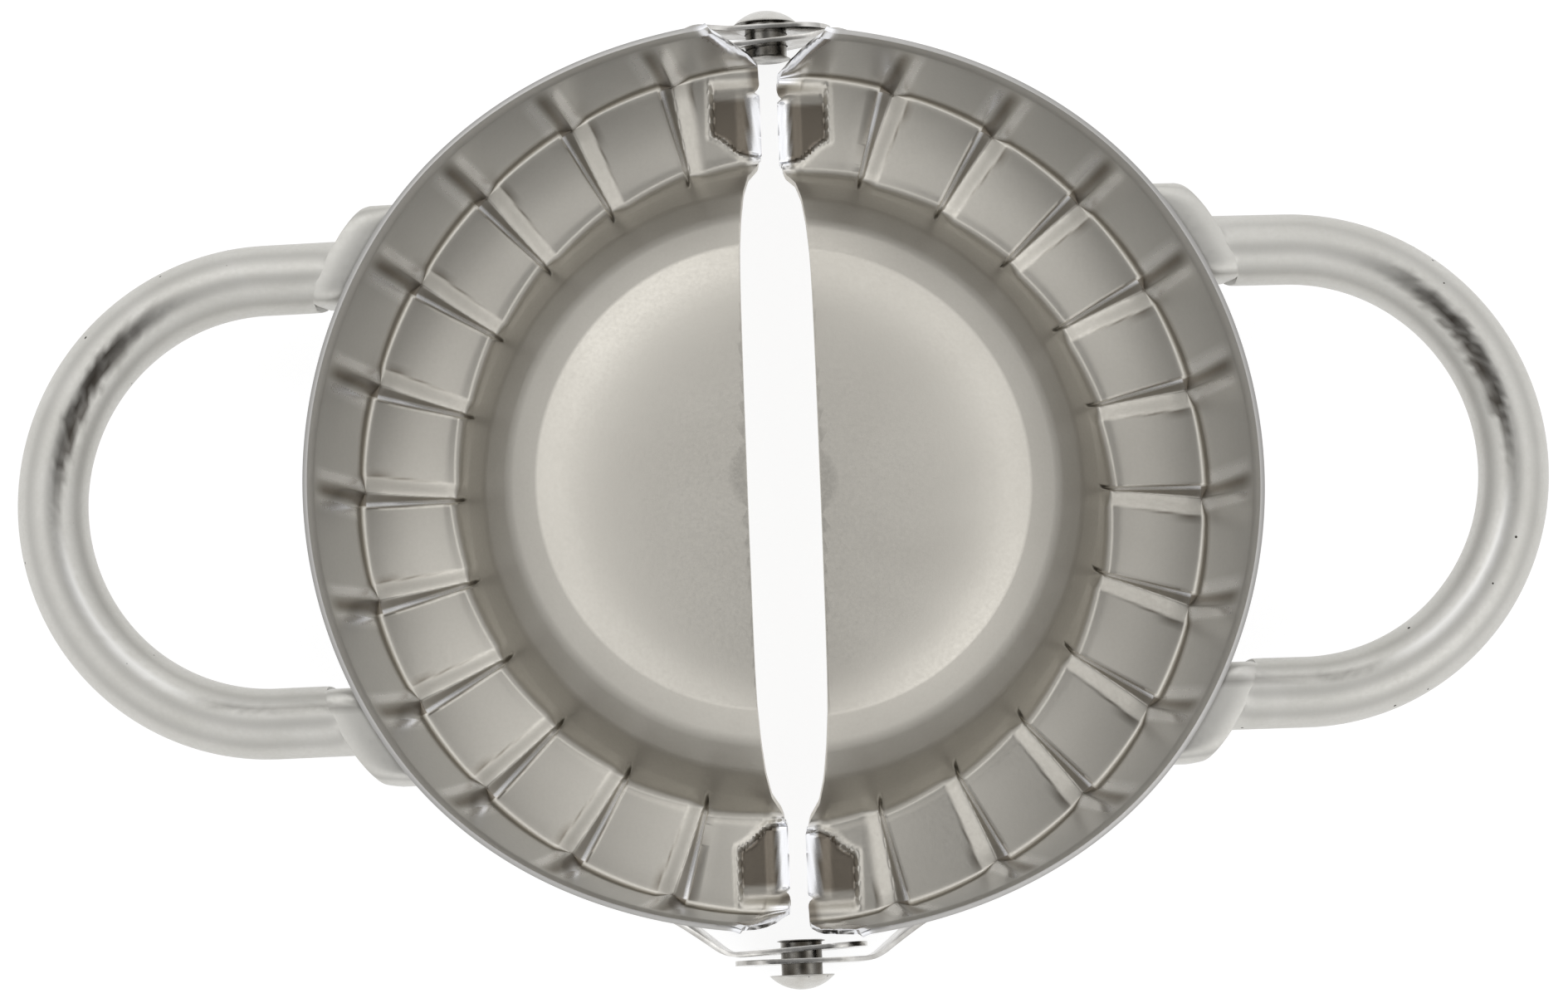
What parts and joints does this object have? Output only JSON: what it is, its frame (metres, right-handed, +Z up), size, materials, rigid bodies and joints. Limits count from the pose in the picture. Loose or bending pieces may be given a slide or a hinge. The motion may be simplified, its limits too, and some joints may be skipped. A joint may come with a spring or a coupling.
{
  "type": "dumpling press",
  "caption": "Folding metal hand press that seals and crimps a round of dough into a filled half-moon, with a rod handle on each half.",
  "frame": {"origin": "on the table under the middle of the press, which lies open on its pressing faces with both halves drooping", "axes": "+Z up, +Y along the hinge axis from the near rivet to the far one, +X from the left half to the right half"},
  "size_m": [0.1634, 0.1058, 0.0213],
  "materials": {
    "pressed_steel": "satin stamped stainless sheet, fine matt grain",
    "rod_steel": "satin drawn stainless rod with small pits",
    "strap_steel": "bright rolled stainless strip",
    "rivet_steel": "satin stainless, scuffed dome"
  },
  "bodies": {
    "left_half": {"left_shell": "pressed_steel", "left_handle": "rod_steel", "left_hinge_strap_far": "strap_steel", "left_hinge_strap_near": "strap_steel"},
    "right_half": {"right_shell": "pressed_steel", "right_handle": "rod_steel", "right_hinge_strap_far": "strap_steel", "right_hinge_strap_near": "strap_steel"},
    "far_rivet": {"rivet_far": "rivet_steel"},
    "near_rivet": {"rivet_near": "rivet_steel"}
  },
  "joints": [
    {"name": "press_fold", "type": "hinge", "parent": "left_half", "child": "right_half", "pos_m": [0, 0.00032, 0.00398], "axis": [0, 1, 0], "range_deg": [-24, 167.2]},
    {"name": "far_rivet_float", "type": "slide", "parent": "left_half", "child": "far_rivet", "axis": [0, 1, 0], "range_m": [-0.0002, 0.0008]},
    {"name": "near_rivet_float", "type": "slide", "parent": "left_half", "child": "near_rivet", "axis": [0, -1, 0], "range_m": [-0.00085, 0.00015]}
  ]
}
